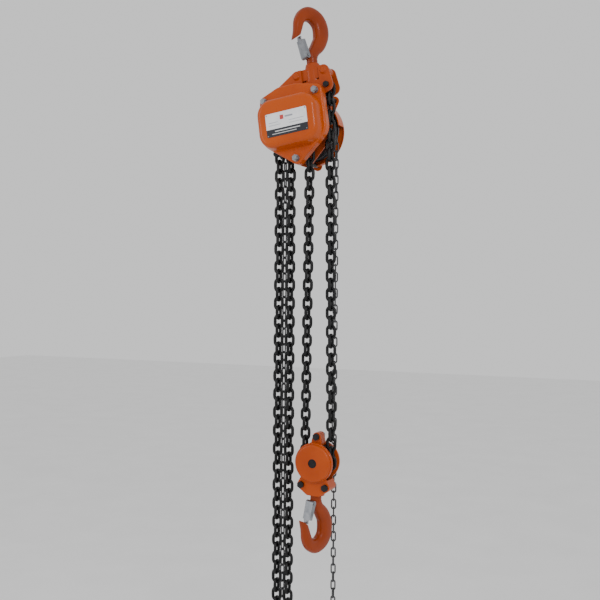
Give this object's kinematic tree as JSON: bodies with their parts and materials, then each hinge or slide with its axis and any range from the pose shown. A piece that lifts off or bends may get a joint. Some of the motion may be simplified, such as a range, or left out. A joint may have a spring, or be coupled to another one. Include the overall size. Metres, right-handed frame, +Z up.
{
  "type": "hand chain hoist",
  "caption": "Hand chain hoist with two falls of load chain, an enclosed gear train, a load brake, a hook block and two latched swivel hooks.",
  "frame": {"origin": "bearing point of the top hook, the highest point of the inside of its bowl, where the hoist hangs", "axes": "+Z up, along the hanging chains; +X to the right when the gear cover faces the viewer; +Y from the gear cover back to the hand wheel"},
  "size_m": [0.2393, 0.2156, 2.1017],
  "materials": {
    "cover_paint": "gloss orange enamel over pressed steel",
    "frame_paint": "gloss orange enamel on rolled plate",
    "hook_paint": "orange enamel over a drop forging",
    "block_paint": "orange enamel over a casting",
    "zinc_steel": "bright zinc plate",
    "black_steel": "black oxide finish",
    "load_chain": "black tempered alloy steel, lightly oiled",
    "hand_chain": "dull zinc plate",
    "gear_steel": "machined and greased",
    "cast_wheel": "as cast, dark",
    "friction_lining": "pressed brake lining",
    "bronze_bush": "sintered bronze",
    "label": "printed anodised sheet"
  },
  "bodies": {
    "frame": {"gear_side_plate": "frame_paint", "wheel_side_plate": "frame_paint", "sheave_bearings": "gear_steel", "yoke": "frame_paint", "yoke_rivets": "frame_paint", "load_chain_anchor_pin": "black_steel", "slack_end_anchor": "black_steel", "stay_bolts": "zinc_steel", "stay_sleeves": "black_steel", "front_washers": "zinc_steel", "stay_nuts": "zinc_steel", "gear_cover": "cover_paint", "gear_bearing_plate": "gear_steel", "capacity_plate": "label", "capacity_plate_rivets": "zinc_steel", "chain_guide_pins": "black_steel", "chain_stripper": "black_steel", "ratchet_disc": "gear_steel", "pawl_pins": "gear_steel", "pawl_springs": "zinc_steel", "hand_wheel_cover": "cover_paint", "top_swivel_bearing": "gear_steel", "load_chain_right_fall": "load_chain", "load_chain_left_fall": "load_chain", "load_chain_slack": "load_chain", "hand_chain": "hand_chain"},
    "drive": {"drive_shaft": "gear_steel", "disc_hub": "gear_steel", "friction_discs": "friction_lining", "hand_wheel": "cast_wheel", "hand_wheel_nut": "zinc_steel"},
    "gear_right": {"disc_gear_right": "gear_steel"},
    "gear_left": {"disc_gear_left": "gear_steel"},
    "sheave": {"load_sheave": "cast_wheel", "load_gear": "gear_steel", "load_gear_clip": "zinc_steel"},
    "guide_roller_right": {"chain_guide_roller_right": "gear_steel"},
    "guide_roller_left": {"chain_guide_roller_left": "gear_steel"},
    "pawl_right": {"pawl_right": "gear_steel"},
    "pawl_top": {"pawl_top": "gear_steel"},
    "top_hook": {"top_hook": "hook_paint", "top_swivel_nut": "black_steel", "top_latch_pin": "zinc_steel", "top_latch_spring": "zinc_steel"},
    "top_latch": {"top_latch": "zinc_steel"},
    "hook_block": {"block_cheek_front": "block_paint", "block_cheek_rear": "block_paint", "block_bolts": "black_steel", "block_nuts": "zinc_steel", "idler_axle": "black_steel", "load_swivel_bearing": "gear_steel", "load_chain_under_idler": "load_chain"},
    "idler": {"idler_sheave": "cast_wheel", "idler_bush": "bronze_bush"},
    "load_hook": {"load_hook": "hook_paint", "load_swivel_nut": "black_steel", "load_latch_pin": "zinc_steel", "load_latch_spring": "zinc_steel"},
    "load_latch": {"load_latch": "zinc_steel"},
    "slack_loop": {"load_chain_slack_bend": "load_chain"}
  },
  "joints": [
    {"name": "hand_wheel_spin", "type": "hinge", "parent": "frame", "child": "drive", "pos_m": [-0.0197, 0, -0.32536], "axis": [0, -1, 0], "range_deg": [-25200, 25200], "deforming": ["hand_chain"]},
    {"name": "gear_right_spin", "type": "hinge", "parent": "frame", "child": "gear_right", "pos_m": [0.02392, 0, -0.31961], "axis": [0, -1, 0], "range_deg": [-3600, 3600]},
    {"name": "gear_left_spin", "type": "hinge", "parent": "frame", "child": "gear_left", "pos_m": [-0.06332, 0, -0.3311], "axis": [0, -1, 0], "range_deg": [-3600, 3600]},
    {"name": "load_sheave_spin", "type": "hinge", "parent": "frame", "child": "sheave", "pos_m": [-0.0197, 0, -0.32536], "axis": [0, -1, 0], "range_deg": [-720, 720]},
    {"name": "block_lift", "type": "slide", "parent": "frame", "child": "hook_block", "axis": [0, 0, 1], "range_m": [-0.224, 0.224], "deforming": ["load_chain_right_fall", "load_chain_left_fall", "load_chain_under_idler"]},
    {"name": "idler_spin", "type": "hinge", "parent": "hook_block", "child": "idler", "pos_m": [0.0447, 0, -1.33332], "axis": [0, 1, 0], "range_deg": [-288, 288]},
    {"name": "slack_loop_drop", "type": "slide", "parent": "frame", "child": "slack_loop", "axis": [0, 0, -1], "range_m": [-0.224, 0.224], "deforming": ["load_chain_slack", "load_chain_slack_bend"]},
    {"name": "top_hook_swivel", "type": "hinge", "parent": "frame", "child": "top_hook", "pos_m": [0, 0, 0], "axis": [-0.1305, 0, 0.9914], "continuous": true},
    {"name": "top_latch_hinge", "type": "hinge", "parent": "top_hook", "child": "top_latch", "pos_m": [0.00432, -0.01889, -0.11139], "axis": [-0.8713, 0.4772, -0.1147], "range_deg": [0, 30], "deforming": ["top_latch_spring"]},
    {"name": "load_hook_swivel", "type": "hinge", "parent": "hook_block", "child": "load_hook", "pos_m": [0.04051, 0, -1.43323], "axis": [0.0419, 0, 0.9991], "continuous": true},
    {"name": "load_latch_hinge", "type": "hinge", "parent": "load_hook", "child": "load_latch", "pos_m": [0.03309, -0.0205, -1.45594], "axis": [0.9529, -0.3007, -0.0399], "range_deg": [0, 30], "deforming": ["load_latch_spring"]},
    {"name": "pawl_right_lift", "type": "hinge", "parent": "frame", "child": "pawl_right", "pos_m": [0.03308, 0, -0.27349], "axis": [0, -1, 0], "range_deg": [0, 12], "deforming": ["pawl_springs"]},
    {"name": "pawl_top_lift", "type": "hinge", "parent": "frame", "child": "pawl_top", "pos_m": [-0.07157, 0, -0.27257], "axis": [0, -1, 0], "range_deg": [0, 12]},
    {"name": "guide_roller_right_spin", "type": "hinge", "parent": "frame", "child": "guide_roller_right", "pos_m": [0.04321, 0, -0.34733], "axis": [0, 1, 0], "continuous": true},
    {"name": "guide_roller_left_spin", "type": "hinge", "parent": "frame", "child": "guide_roller_left", "pos_m": [-0.07825, 0, -0.36332], "axis": [0, 1, 0], "continuous": true}
  ],
  "couplings": [
    {"joint": "gear_right_spin", "follows": "hand_wheel_spin", "ratio": -0.14286},
    {"joint": "gear_left_spin", "follows": "hand_wheel_spin", "ratio": -0.14286},
    {"joint": "load_sheave_spin", "follows": "hand_wheel_spin", "ratio": 0.028571},
    {"joint": "block_lift", "follows": "hand_wheel_spin", "m_per_rad": 0.0005093},
    {"joint": "idler_spin", "follows": "hand_wheel_spin", "ratio": 0.011429},
    {"joint": "slack_loop_drop", "follows": "hand_wheel_spin", "m_per_rad": 0.0005093}
  ]
}
